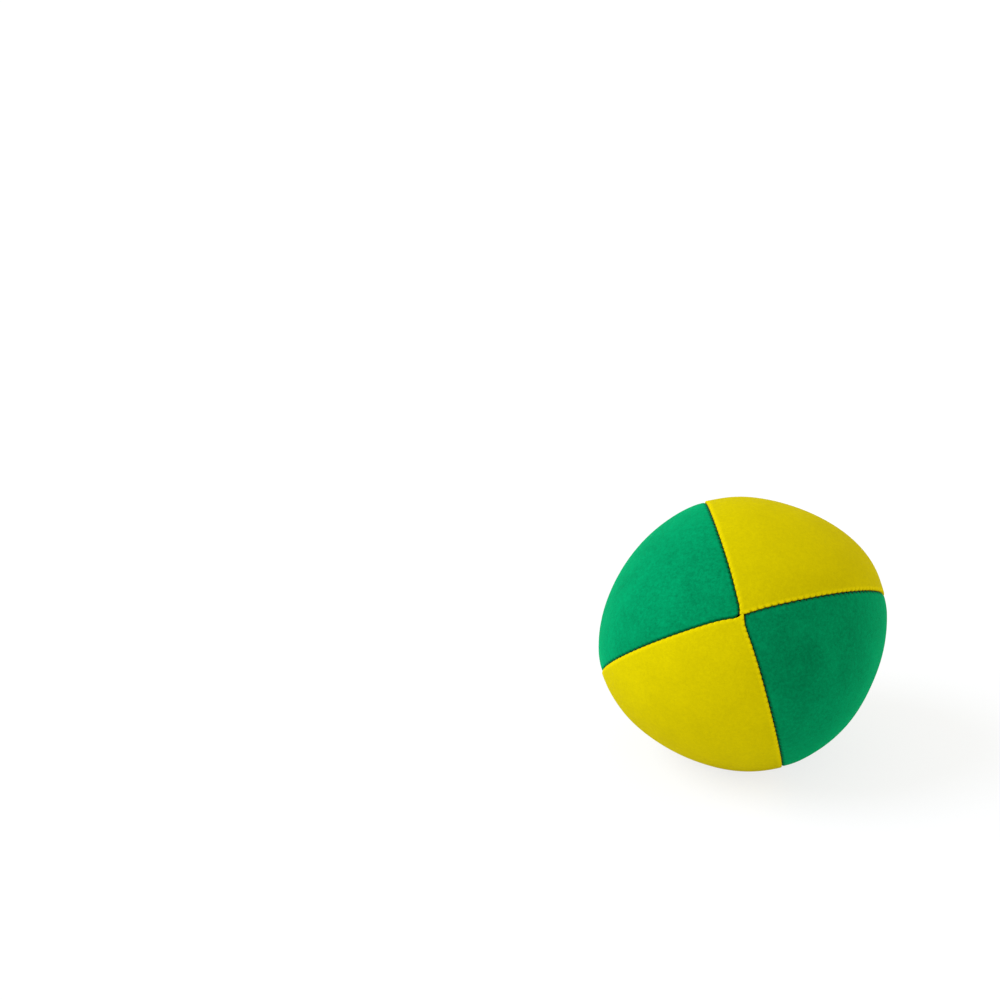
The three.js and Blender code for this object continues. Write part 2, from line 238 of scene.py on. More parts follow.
class SewnBall:
    """The bag's skin as a round ball, and the way it lies down."""

    DRIFT_REACH = 0.008  # from the front pole to where the junction's drift has run out
    BOW_START, BOW_REACH = 0.0009, 0.0036  # between these the ring seam sags most
    BOW_TURN = 0.0006  # over which that sag halves from the left seam to the right one

    def __init__(self, shape):
        self.shape = shape
        self.radius = shape.diameter / 2
        self.floor = self.radius * (1 - shape.squash) - shape.floor_sink
        tilt = Matrix.Rotation(QUARTER - shape.pole_tilt, 3, "X")
        roll = Matrix.Rotation(shape.seam_roll, 3, "Z")
        self.turn = np.array(tilt @ roll)

    def skin(self, points):
        """How far the skin lies from the centre in the direction of each point."""
        length = np.linalg.norm(points, axis=-1)
        around = np.arctan2(points[..., 1], points[..., 0])
        out = (points[..., 0] ** 2 + points[..., 1] ** 2) / length**2
        return self.radius * (1 + self.shape.corner * out * np.cos(4 * around))

    def push(self, points, depth):
        """The points moved along their own directions to a depth under the skin."""
        length = np.linalg.norm(points, axis=-1)
        return points * ((self.skin(points) - depth) / length)[..., None]

    def lay_down(self, points):
        """The points of the round ball where they are when the bag lies on the floor."""
        shape = self.shape
        depth = self.skin(points) - np.linalg.norm(points, axis=-1)
        stretched = points * np.array([1 + shape.stretch, 1 - shape.stretch, 1])
        laid = stretched @ self.turn.T
        laid = laid * np.array([1 + shape.squash / 2, 1 + shape.squash / 2, 1 - shape.squash])
        under = depth - self.floor - laid[..., 2]
        blend = shape.floor_blend
        lift = np.where(
            under > blend, under,
            np.where(under > -blend, (under + blend) ** 2 / (4 * blend), 0),
        )
        laid[..., 2] += lift + self.floor
        return laid

    def swells(self, points):
        """Broad, low swells of the skin where the grain presses on it."""
        unit = points / np.linalg.norm(points, axis=-1)[..., None]
        places = (unit * self.radius / self.shape.swell).reshape(-1, 3)
        height = np.array([noise.noise(Vector(place)) for place in places])
        return height.reshape(points.shape[:-1]) * self.shape.waviness

    def stepped(self, points, half):
        """The points of one half of the bag, shifted along the ring seam near the poles,
        because two sewn halves never meet exactly point to point."""
        shape = self.shape
        length = np.linalg.norm(points, axis=-1)
        out = np.hypot(points[..., 0], points[..., 1])
        moved = points.copy()
        moved[..., 0] -= half * shape.junction_step * bell(out, shape.junction_reach)
        front = points[..., 2] > 0
        moved[..., 0] -= front * shape.pole_drift * bell(out, self.DRIFT_REACH)
        bow = shape.seam_sag * (1 - 0.5 * np.tanh(points[..., 0] / self.BOW_TURN))
        moved[..., 1] -= bow * (1 - bell(out, self.BOW_START)) * bell(out, self.BOW_REACH)
        return moved * (length / np.linalg.norm(moved, axis=-1))[..., None]


class BlownShell:
    """A coarse cloth ball with shortened seams, blown up by Blender's cloth solver as the
    grain blows up the bag. It gives the uneven gathers beside the seams.

    Its points are whole numbers on an octahedron's faces, opened out to one square grid, so
    that its edges run along the seams and a height is looked up without a search."""

    STEPS = 40  # triangles from pole to equator, about 1.3 mm each
    FRAMES = 20
    SLACK = 0.985  # size before it is blown up
    SEAM_WIDTH = 0.0016  # over which the shortening of a seam runs out
    LANE = 0.0007  # width of the strips beside a seam whose mean height is taken off
    SMOOTHING = 24  # rounds, after which only the ball's broad form is left
    CALM = 0.004  # nearer to a pole the gathers fade

    def __init__(self, ball):
        self.ball = ball
        steps = self.STEPS
        side = np.arange(-steps, steps + 1)
        u, v = np.meshgrid(side, side, indexing="ij")
        deep = steps - abs(u) - abs(v)
        x = np.where(deep >= 0, u, (steps - abs(v)) * np.sign(u))
        y = np.where(deep >= 0, v, (steps - abs(u)) * np.sign(v))
        corners, index = np.unique(
            np.stack([x, y, deep], -1).reshape(-1, 3), axis=0, return_inverse=True
        )
        self.index = index.reshape(u.shape)
        self.unit = corners / np.linalg.norm(corners, axis=1)[:, None]
        blown = np.linalg.norm(self.simulated(), axis=1)
        self.grid = self.gathers(blown * ball.radius)[self.index]

    def faces(self):
        steps = self.STEPS
        found = []
        for i in range(2 * steps):
            for j in range(2 * steps):
                a, b = self.index[i, j], self.index[i + 1, j]
                c, d = self.index[i + 1, j + 1], self.index[i, j + 1]
                same = (i < steps) == (j < steps)
                found += [(a, b, d), (b, c, d)] if same else [(a, b, c), (a, c, d)]
        return [face for face in found if len(set(face)) == 3]

    def simulated(self):
        """The ball after the simulation, at a radius of about 1 m, because the solver's
        stiffnesses are meant for cloth of a garment's size."""
        scene = bpy.context.scene
        mesh = bpy.data.meshes.new("blown_shell")
        mesh.from_pydata((self.unit * self.SLACK).tolist(), [], self.faces())
        shell = bpy.data.objects.new("blown_shell", mesh)
        scene.collection.objects.link(shell)
        seams = shell.vertex_groups.new(name="seams")
        for at, near in enumerate(bell(self.beside(), self.SEAM_WIDTH)):
            seams.add([at], float(near), "REPLACE")
        cloth = shell.modifiers.new("cloth", "CLOTH")
        suede = cloth.settings
        suede.quality = 6
        suede.mass = 0.3
        suede.tension_stiffness = suede.compression_stiffness = 20
        suede.shear_stiffness = 8
        suede.bending_stiffness = 1
        suede.tension_damping = suede.compression_damping = suede.shear_damping = 25
        suede.bending_damping = 2
        suede.air_damping = 5
        suede.use_pressure = True
        suede.uniform_pressure_force = 6
        suede.effector_weights.gravity = 0
        suede.vertex_group_shrink = "seams"
        suede.shrink_max = self.ball.shape.seam_shrink
        cloth.collision_settings.use_collision = False
        cloth.point_cache.frame_end = self.FRAMES
        for frame in range(1, self.FRAMES + 1):
            scene.frame_set(frame)
        graph = bpy.context.evaluated_depsgraph_get()
        blown = bpy.data.meshes.new_from_object(shell.evaluated_get(graph))
        points = np.empty(len(self.unit) * 3)
        blown.vertices.foreach_get("co", points)
        bpy.data.objects.remove(shell)
        for used in (mesh, blown):
            bpy.data.meshes.remove(used)
        scene.frame_set(1)
        return points.reshape(-1, 3)

    def beside(self):
        return np.minimum(abs(self.unit[:, 0]), abs(self.unit[:, 1])) * self.ball.radius

    def gathers(self, height):
        """The heights without the ball's broad form, which the bag's own shape gives, and
        without what is the same all along the seams."""
        pairs = np.array([
            (face[at], face[at - 1]) for face in self.faces() for at in range(3)
        ])
        count = np.zeros(len(height))
        np.add.at(count, pairs[:, 0], 1)
        broad = height.copy()
        for _ in range(self.SMOOTHING):
            total = np.zeros(len(height))
            np.add.at(total, pairs[:, 0], broad[pairs[:, 1]])
            broad = (broad + total / count) / 2
        rough = height - broad
        lane = np.round(self.beside() / self.LANE).astype(int)
        mean = np.bincount(lane, rough) / np.maximum(np.bincount(lane), 1)
        rough -= mean[lane]
        most = self.ball.shape.gather
        poles = np.hypot(self.unit[:, 0], self.unit[:, 1]) * self.ball.radius
        return most * np.tanh(rough * self.ball.shape.gather_share / most) * (
            np.clip(poles / self.CALM - 0.5, 0, 1)
        )

    def heights(self, points):
        """The gathers' height at each point, smoothly interpolated."""
        steps = self.STEPS
        flat = points.reshape(-1, 3)
        flat = flat / abs(flat).sum(1)[:, None]
        x, y, deep = flat.T
        u = np.where(deep >= 0, x, (1 - abs(y)) * np.where(x < 0, -1, 1))
        v = np.where(deep >= 0, y, (1 - abs(x)) * np.where(y < 0, -1, 1))
        u, v = (u + 1) * steps, (v + 1) * steps
        # Across its border the square goes on at the same place turned round
        edge = np.pad(self.grid, 2)
        turned = self.grid[::-1, ::-1]
        edge[:2, 2:-2], edge[-2:, 2:-2] = turned[-3:-1], turned[1:3]
        edge[2:-2, :2], edge[2:-2, -2:] = turned[:, -3:-1], turned[:, 1:3]
        first_u, first_v = np.floor(u).astype(int), np.floor(v).astype(int)
        weights_u, weights_v = spline_weights(u - first_u), spline_weights(v - first_v)
        total = np.zeros(len(flat))
        last = edge.shape[0] - 1
        for a in range(4):
            for b in range(4):
                at_u = np.minimum(first_u + 1 + a, last)
                at_v = np.minimum(first_v + 1 + b, last)
                total += weights_u[a] * weights_v[b] * edge[at_u, at_v]
        return total.reshape(points.shape[:-1])


def spline_weights(t):
    """The four weights of a cubic spline at a share t of the way between two knots."""
    return (
        (1 - t) ** 3 / 6, (3 * t**3 - 6 * t**2 + 4) / 6,
        (-3 * t**3 + 3 * t**2 + 3 * t + 1) / 6, t**3 / 6,
    )


# The stitches of each seam, as angles from the front pole


def spread(first, last, step):
    return np.linspace(first, last, max(2, round((last - first) / step) + 1))


PAIR_SEAMS = ("upper", "lower")  # each joins two panels to a half of the bag
HAND_UNEVEN = 0.14  # how far a hand stitch may miss its place, as a share of a step
MACHINE_DIMPLE, HAND_DIMPLE = 0.18, 0.4  # half widths of a stitch's dimple, in stitch lengths
HAND_PULL = 1.5  # how much harder a hand stitch pulls
PULL = {"right": 1.2, "upper": 1.0, "left": 0.7, "lower": 0.9}  # how hard the thread pulls


def seam_stitches(settings, seam):
    """(machine stitches, hand stitches) along one of the four seams."""
    radius = settings.shape.diameter / 2
    sewing = settings.sewing
    step = sewing.stitch_length / radius
    if seam in PAIR_SEAMS:
        start = sewing.pair_start / radius
        return spread(start, math.pi - start, step), np.array([])
    if seam == "left":
        return spread(step / 2, math.pi - step / 2, step), np.array([])
    half = sewing.filling_gap / 2 / radius
    low, high = sewing.gap_centre - half, sewing.gap_centre + half
    machine = np.concatenate([
        spread(step / 2, low, step), spread(high, math.pi - step / 2, step),
    ])
    edge = sewing.hand_stitch / radius
    hand = spread(low + edge, high - edge, edge)
    # The steps through the noise are wide enough for each stitch to miss in its own way
    uneven = [noise.noise(Vector((at * 1.7, 3.1, 0))) for at in range(len(hand))]
    return machine, hand + HAND_UNEVEN * np.array(uneven) * edge


def draw_of_stitches(settings, seam, angles):
    """How strongly the stitches draw the fold in at each angle, from 0 to 1."""
    radius = settings.shape.diameter / 2
    machine, hand = seam_stitches(settings, seam)
    width = settings.sewing.stitch_length / radius
    drawn = bell(angles[..., None] - machine, MACHINE_DIMPLE * width).sum(-1)
    if len(hand):
        drawn = drawn + HAND_PULL * bell(angles[..., None] - hand, HAND_DIMPLE * width).sum(-1)
    return drawn * PULL[seam]


# The suede panels

PANEL_ROWS = 680  # from pole to pole, about 0.15 mm apart
LAYER_COLUMNS = 6  # down a seam layer
FOLD_COLUMNS = 8  # round the fold
SKIN_COLUMNS = 22  # from the fold to the middle of the panel
SKIN_EASE = 1.5  # how much those crowd towards the folds
INSIDE_COLUMNS = 8  # the same on the inner face

# The panels: quarter of the bag, colour of the cloth, the seams on the two sides, a factor
# on its colour that paints light and shade on the panel (the left green one lighter as if lit,
# the right green one darker as if shaded, the yellow ones a little either way), how much fuller
# than a round ball the grain fills it, and how far that fullness leans to the first seam
PANELS = {
    "yellow_panel_top": (0, "yellow", "right", "upper", 0.975, 0.00040, 0.00030),
    "green_panel_left": (1, "green", "upper", "left", 1.09, -0.00035, 0),
    "yellow_panel_bottom": (2, "yellow", "left", "lower", 1.025, -0.00015, 0),
    "green_panel_right": (3, "green", "lower", "right", 0.92, -0.00040, 0.00030),
}
SEAM_NUMBER = {"right": 0, "upper": 1, "left": 2, "lower": 3}


class PanelCut:
    """Works out the points of one panel between its two seam planes."""

    # Distances from a pole
    FIRST_STITCH = 0.0012  # from here the stitches draw in fully
    TIP_LENGTH = 0.0011  # over this a tip is tucked back or reaches in
    FLAT_TIP = 0.0009  # over this a yellow tip's fold is flattened
    GAPE_START = 0.003  # from here a fold stands off fully
    # Distances from a seam over which these run out
    PINCH_REACH = 0.0006
    SHOULDER_REACH = 0.0032
    OVERHANG_REACH = 0.0016
    GATHER_REACH = 0.0035
    FULL_REACH = 0.006  # over this the panel's fullness grows
    GATHER_WIDTH, GATHER_LENGTH = 0.0023, 0.011  # along the seam, and across it
    YELLOW_FLATNESS = 0.85  # share of the fold that is flattened away at a yellow tip
    CORNER_POWER = 6  # how sharply two folds meet at a tip
    RISE = 0.004  # height above the floor from which the skin swells freely

    def __init__(self, settings, blown, quarter, tint, low_seam, high_seam, lay, fullness, lean):
        self.blown = blown
        # lay is a factor on the panel's colour that paints light and shade on it
        self.lay = lay
        self.fullness = fullness
        self.lean = lean
        self.ball = SewnBall(settings.shape)
        self.cloth = settings.cloth
        self.fold = getattr(self.cloth, f"{tint}_fold")
        self.scallop = getattr(self.cloth, f"{tint}_scallop")
        self.quarter = quarter
        under = tint == "green"
        self.tip_shift = self.cloth.tip_tuck if under else -self.cloth.tip_reach
        self.tip_flat = 0 if under else self.YELLOW_FLATNESS
        self.stand = self.cloth.overhang / 2 * (-1 if under else 1)
        self.rows = np.linspace(0, 1, PANEL_ROWS + 1)
        nominal = math.pi * self.rows
        fade = np.clip(np.sin(nominal) * self.ball.radius / self.FIRST_STITCH, 0, 1)
        self.seams = (low_seam, high_seam)
        self.draws = [fade * draw_of_stitches(settings, seam, nominal) for seam in self.seams]

    def inset(self, out, extra):
        """Distance of a layer's face from the seam plane, at a distance from the axis."""
        return self.cloth.layer_gap / 2 + self.tip_shift * bell(out, self.TIP_LENGTH) + extra

    def column(self, depth, extra, place):
        """One column of points from pole to pole. place says how far across the panel they
        lie: ("face", side) is on a seam layer, ("fold", side, angle) is round the fold, and
        ("skin", share) is a share of the way from fold to fold."""
        radius = self.ball.radius - depth
        tip_inset = self.inset(np.array(0.0), extra)
        tip = math.asin(min(1, math.sqrt(2) * tip_inset / radius))
        from_pole = tip + (math.pi - 2 * tip) * self.rows
        out = np.maximum(radius * np.sin(from_pole), 1e-9)
        inset = self.inset(out, extra)
        low = np.arcsin(np.clip(inset / out, 0, math.sqrt(0.5)))
        middle = QUARTER / 2
        fold = self.fold if extra == 0 else 0
        rim = np.arcsin(np.clip((inset + fold) / out, 0, 1)) - low
        start = low + np.minimum(rim, (middle - low) * 0.5)
        if place[0] == "face":
            across = low if place[1] == 0 else QUARTER - low
        elif place[0] == "fold":
            part = 1 - math.cos(place[2])
            turned = np.arcsin(np.clip((inset + fold * part) / out, 0, 1)) - low
            # Where a tip is too narrow for the whole turn, the columns share its room
            turned = np.minimum(turned, (start - low) * (0.15 + 0.85 * part))
            across = low + turned if place[1] == 0 else QUARTER - low - turned
        else:
            across = start + (QUARTER - 2 * start) * place[1]
        points = np.stack([
            out * np.cos(across), out * np.sin(across), radius * np.cos(from_pole)
        ], -1)
        beside = [points[:, 1] - inset, points[:, 0] - inset]
        if place[0] == "face":
            beside[place[1]] = np.zeros_like(out)
        return points, beside, from_pole

    def sunk(self, beside, from_pole):
        """How deep the folds with their stitches draw the skin in, and how deep it lies in
        all, with the shoulders and gathers beside the seams."""
        cloth, shape = self.cloth, self.ball.shape
        folds, pinched, drawn = [], 0, 0
        for side in (0, 1):
            distance = np.maximum(beside[side], 0)
            radius = self.fold * (1 + self.scallop * self.draws[side])
            into = np.clip(radius - distance, 0, radius)
            folds.append(radius - np.sqrt(np.maximum(radius**2 - into**2, 0)))
            pinch = cloth.pinch * self.draws[side]
            pinched = pinched + pinch * np.exp(-distance / self.PINCH_REACH)
            drawn = drawn + shape.shoulder * np.exp(-distance / self.SHOULDER_REACH)
            drawn = drawn + self.gathers(side, distance, from_pole)
        out = np.sin(from_pole) * self.ball.radius
        power = self.CORNER_POWER
        fold = (folds[0] ** power + folds[1] ** power) ** (1 / power)
        fold = (fold + pinched) * (1 - self.tip_flat * bell(out, self.FLAT_TIP))
        return fold, fold + drawn

    def gathers(self, side, distance, from_pole):
        """Small uneven gathers that run off from a seam."""
        along = from_pole * self.ball.radius / self.GATHER_WIDTH
        # Each side of each seam reads a part of the noise of its own
        number = SEAM_NUMBER[self.seams[side]] + (0.5 if side else 0)
        height = np.array([
            noise.noise(Vector((a, b / self.GATHER_LENGTH, number * 9.7)))
            for a, b in zip(along, distance)
        ])
        # They fade where the panel is narrower than an eighth of its widest
        calm = np.clip(np.sin(from_pole) * 8, 0, 1)
        return self.cloth.pucker * height * np.exp(-distance / self.GATHER_REACH) * calm

    def gaped(self, points, side, share_of_gape):
        """Points of a seam layer, stood off from the seam plane between the stitches."""
        slack = self.cloth.gape * (1 - np.clip(self.draws[side], 0, 1)) * share_of_gape
        fade = np.clip(np.hypot(points[:, 0], points[:, 1]) / self.GAPE_START, 0, 1)
        points[:, 1 - side] += slack * fade
        return points

    def outer_columns(self):
        """The outside, from the end of one seam layer over the skin to the other's."""
        cloth = self.cloth
        halves = [], []
        for side, half in enumerate(halves):
            for depth in np.linspace(cloth.allowance, self.fold, LAYER_COLUMNS + 1)[:-1]:
                points, beside, from_pole = self.column(depth, 0, ("face", side))
                low = (cloth.allowance - depth) / (cloth.allowance - self.fold)
                fold, drawn = self.sunk(beside, from_pole)
                placed = self.ball.push(points, depth + (drawn - self.fold) * low)
                placed[:, 1 - side] = self.face(placed, 0)
                groove = depth + (fold - self.fold) * low
                half.append((self.gaped(placed, side, low), beside, groove))
            for step in range(FOLD_COLUMNS):
                turned = QUARTER * step / FOLD_COLUMNS
                points, beside, from_pole = self.column(0, 0, ("fold", side, turned))
                fold, drawn = self.sunk(beside, from_pole)
                placed = self.ball.push(points, drawn)
                if step == 0:
                    placed[:, 1 - side] = self.face(placed, 0)
                half.append((self.gaped(placed, side, math.cos(turned)), beside, fold))
        middle = []
        for step in range(2 * SKIN_COLUMNS + 1):
            part = step / SKIN_COLUMNS
            eased = min(part, 2 - part) ** SKIN_EASE / 2
            eased = eased if part <= 1 else 1 - eased
            points, beside, from_pole = self.column(0, 0, ("skin", eased))
            fold, drawn = self.sunk(beside, from_pole)
            middle.append((self.ball.push(points, drawn), beside, fold))
        return halves[0] + middle + halves[1][::-1]

    def face(self, placed, extra):
        """Where the seam layer's face lies, for points already at their depth."""
        out = np.hypot(placed[:, 0], placed[:, 1])
        return np.minimum(self.inset(out, extra), out * math.sqrt(0.5) + 1e-12)

    def inner_columns(self):
        """The inside, from the end of one seam layer over the inner face to the other's."""
        cloth = self.cloth
        halves = [], []
        for side, half in enumerate(halves):
            for depth in np.linspace(cloth.allowance, cloth.thickness, LAYER_COLUMNS + 1):
                points, beside, _ = self.column(depth, cloth.thickness, ("face", side))
                placed = self.ball.push(points, depth)
                placed[:, 1 - side] = self.face(placed, cloth.thickness)
                half.append((placed, beside, depth + 0 * beside[0]))
        middle = []
        for step in range(1, 2 * INSIDE_COLUMNS):
            points, beside, _ = self.column(
                cloth.thickness, cloth.thickness, ("skin", step / 2 / INSIDE_COLUMNS)
            )
            placed = self.ball.push(points, cloth.thickness)
            middle.append((placed, beside, cloth.thickness + 0 * beside[0]))
        return halves[0] + middle + halves[1][::-1]

    def mesh(self, name):
        """The panel as a closed mesh, with what its material reads."""
        outer = self.outer_columns()
        ring = outer + self.inner_columns()[::-1]
        points = np.stack([column[0] for column in ring], 1)
        points = points @ np.array(Matrix.Rotation(QUARTER * self.quarter, 3, "Z")).T
        beside = np.stack([np.minimum(*column[1]) for column in ring], 1)
        groove = np.stack([column[2] for column in ring], 1)
        raised = self.ball.swells(points)
        raised += self.fullness * (1 - bell(beside, self.FULL_REACH))
        around = np.arctan2(points[..., 1], points[..., 0])
        out = np.hypot(points[..., 0], points[..., 1]) / self.ball.radius
        raised += self.lean * np.sin(4 * around) * out**2
        raised += self.stand * np.exp(-beside / self.OVERHANG_REACH)
        if self.blown:
            raised += self.blown.heights(points)
        height = self.ball.lay_down(self.ball.push(points, 0))[..., 2]
        raised *= np.clip(height / self.RISE, 0, 1)
        points += points / np.linalg.norm(points, axis=-1)[..., None] * raised[..., None]
        laid = self.ball.lay_down(self.ball.stepped(points, 1 if self.quarter < 2 else -1))
        for end in (0, -1):  # both sides of a tip meet exactly, so that the weld closes it
            for part in (slice(0, len(outer)), slice(len(outer), None)):
                laid[end, part] = (laid[end, part] + laid[end, part][::-1]) / 2
        mesh = closed_tube(name, laid)
        store(mesh, "seam_distance", beside)
        store(mesh, "groove_depth", groove)
        # Painted light and shade: one factor on the whole panel's colour, lighter for the lit
        # panel, darker for the shaded one
        store(mesh, "nap_lay", np.full(groove.shape, self.lay))
        fabric_map(mesh, self.rows * math.pi * self.ball.radius, laid)
        return welded(mesh)


def closed_tube(name, grid):
    """A mesh of rings of points, closed round each ring; its ends are welded afterwards."""
    rows, count = grid.shape[:2]
    index = np.arange(rows * count).reshape(rows, count)
    near, far = index[:-1], index[1:]
    faces = np.stack([near, np.roll(near, -1, 1), np.roll(far, -1, 1), far], -1)
    mesh = bpy.data.meshes.new(name)
    mesh.from_pydata(grid.reshape(-1, 3), [], faces.reshape(-1, 4))
    return mesh


def store(mesh, name, values):
    layer = mesh.attributes.new(name, "FLOAT", "POINT")
    layer.data.foreach_set("value", np.asarray(values, np.float32).reshape(-1))


def fabric_map(mesh, heights, grid):
    """A UV map in metres of cloth: across the panel, and along it from pole to pole."""
    across = np.linalg.norm(np.diff(grid, axis=1), axis=-1).cumsum(1)
    across = np.concatenate([np.zeros((len(grid), 1)), across], 1)
    across -= across[:, across.shape[1] // 2][:, None]
    along = np.repeat(heights[:, None], grid.shape[1], 1)
    flat = np.stack([across, along], -1).reshape(-1, 2)
    corners = np.empty(len(mesh.loops), np.int32)
    mesh.loops.foreach_get("vertex_index", corners)
    layer = mesh.uv_layers.new(name="cloth")
    layer.data.foreach_set("uv", flat[corners].astype(np.float32).reshape(-1))


def welded(mesh, near=2e-7, empty=1e-8):
    """Points nearer than that merged, empty faces dropped and all faces turned outwards."""
    work = bmesh.new()
    work.from_mesh(mesh)
    bmesh.ops.remove_doubles(work, verts=work.verts, dist=near)
    bmesh.ops.dissolve_degenerate(work, edges=work.edges, dist=empty)
    bmesh.ops.recalc_face_normals(work, faces=work.faces)
    if work.calc_volume(signed=True) < 0:
        bmesh.ops.reverse_faces(work, faces=work.faces)
    work.to_mesh(mesh)
    work.free()
    mesh.shade_smooth()
    return mesh


def finished(mesh, material_slot, *nodes, made_of=None):
    """A piece of the bag: in the scene, riding on it and standing for its CAD nodes."""
    piece = bpy.data.objects.new(mesh.name, mesh)
    bpy.context.scene.collection.objects.link(piece)
    if made_of:
        mesh.materials.clear()
        mesh.materials.append(made_of)
    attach(piece, "root")
    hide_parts(*nodes)
    return piece


# Threads


class SeamPlane:
    """A flat plane that a seam lies in. A place in it is an angle from the front pole, and
    then distances along the seam, across the plane and deeper into the bag."""

    def __init__(self, settings, out, across):
        self.ball = SewnBall(settings.shape)
        self.depth = settings.sewing.stitch_depth
        self.out = np.array(out, float)
        self.across = np.array(across, float)

    def place(self, at, along, aside, deeper):
        pole = np.array([0.0, 0.0, 1.0])
        outward = self.out * math.sin(at) + pole * math.cos(at)
        forward = self.out * math.cos(at) - pole * math.sin(at)
        start = self.ball.push(outward[None], self.depth)[0]
        return start + forward * along + self.across * aside - outward * deeper


def rounded(points):
    """A path with its corners cut twice, so that a thread bends as it would."""
    for _ in range(2):
        ahead = points[:-1] * 0.75 + points[1:] * 0.25
        behind = points[:-1] * 0.25 + points[1:] * 0.75
        inner = np.stack([ahead, behind], 1).reshape(-1, 3)
        points = np.concatenate([points[:1], inner, points[-1:]])
    return points


# Shares of the thread's width
PRESSED = 0.45  # from a layer's face to the middle of a thread that is drawn down on it
HOOKED = 0.55  # from the seam plane to the middle of a thread that hooks the other one
PLY_OFFSET, PLY_RADIUS = 0.27, 0.25  # from the thread's middle to a ply's, and its radius


def outer_face(settings):
    """Distance from a seam plane to the middle of a thread on the outside of a layer."""
    cloth = settings.cloth
    return cloth.layer_gap / 2 + cloth.thickness + settings.sewing.thread * PRESSED


def lockstitch_path(settings, plane, angles, side):
    """One thread of a lockstitch: side 1 is the needle thread and side -1 the bobbin's."""
    sewing, lay = settings.sewing, outer_face(settings)
    leg = sewing.thread
    hook = sewing.thread * HOOKED
    points = [plane.place(angles[0], -leg, side * lay, -side * leg + sewing.tail)]
    for at in angles:
        points += [
            plane.place(at, -leg, side * lay, -side * leg),
            plane.place(at, -leg, -side * hook, -side * leg),
            plane.place(at, leg, -side * hook, side * leg),
            plane.place(at, leg, side * lay, side * leg),
        ]
    points.append(plane.place(angles[-1], leg, side * lay, side * leg + sewing.tail))
    return plane.ball.lay_down(rounded(np.array(points)))


def overhand_knot(width, opening=0.35, count=40):
    """The points of an overhand knot about the origin, open at both ends."""
    turns = np.linspace(opening, 2 * math.pi - opening, count)
    loop = np.stack([
        np.sin(turns) + 2 * np.sin(2 * turns),
        np.cos(turns) - 2 * np.cos(2 * turns),
        -1.6 * np.sin(3 * turns),
    ], -1)
    return loop * width / 6


def closing_path(settings, plane):
    """The hand sewn ladder across the filling gap, with a knot at each end."""
    sewing, lay = settings.sewing, outer_face(settings)
    _, hand = seam_stitches(settings, "right")
    knots = []
    last = len(hand) - 1
    for at, side in ((0, 1), (last, 1 if last % 2 else -1)):
        centre = plane.place(hand[at], 0, side * (lay + sewing.knot / 2), sewing.tail)
        knots.append(overhand_knot(sewing.knot) + centre)
    points = []
    for number, at in enumerate(hand):
        side = -1 if number % 2 else 1
        points += [plane.place(at, 0, side * lay, 0), plane.place(at, 0, -side * lay, 0)]
    path = np.concatenate([knots[0], rounded(np.array(points)), knots[1][::-1]])
    return plane.ball.lay_down(path)


def add_node(tree, kind, inputs=None, **settings):
    """A node with its settings, its values and what is linked to it: sockets, or nodes
    whose first output that is in use is meant."""
    made = tree.nodes.new(kind)
    for name, value in settings.items():
        setattr(made, name, value)
    for socket, value in (inputs or {}).items():
        if isinstance(value, bpy.types.Node):
            value = next(out for out in value.outputs if out.enabled)
        if isinstance(value, bpy.types.NodeSocket):
            tree.links.new(value, made.inputs[socket])
        else:
            made.inputs[socket].default_value = value
    return made


def geometry_tree(name, grow, sizes):
    """The geometry tree of that name, made the first time it is asked for. It has what grow
    makes of the geometry and sizes that the tree is given, as a smooth mesh."""
    tree = bpy.data.node_groups.get(name)
    if tree:
        return tree
    tree = bpy.data.node_groups.new(name, "GeometryNodeTree")
    tree.interface.new_socket("Geometry", in_out="OUTPUT", socket_type="NodeSocketGeometry")
    kinds = {"Geometry": "NodeSocketGeometry", **sizes, "Material": "NodeSocketMaterial"}
    for label, kind in kinds.items():
        tree.interface.new_socket(label, in_out="INPUT", socket_type=kind)
    given = add_node(tree, "NodeGroupInput").outputs
    real = add_node(tree, "GeometryNodeRealizeInstances", {"Geometry": grow(tree, given)})
    smooth = add_node(tree, "GeometryNodeSetShadeSmooth", {"Geometry": real})
    done = add_node(tree, "GeometryNodeSetMaterial", {
        "Geometry": smooth, "Material": given["Material"]})
    add_node(tree, "NodeGroupOutput", {"Geometry": done})
    return tree


def grown(source, tree, values, name):
    """The plain mesh that a geometry tree makes of an object, which is then removed."""
    modifier = source.modifiers.new(name, "NODES")
    modifier.node_group = tree
    for item in tree.interface.items_tree:
        if item.in_out == "INPUT" and item.name in values:
            modifier[item.identifier] = values[item.name]
    bpy.context.view_layer.update()
    graph = bpy.context.evaluated_depsgraph_get()
    mesh = bpy.data.meshes.new_from_object(source.evaluated_get(graph))
    mesh.name = name
    source.modifiers.remove(modifier)
    bpy.data.objects.remove(source)
    return mesh


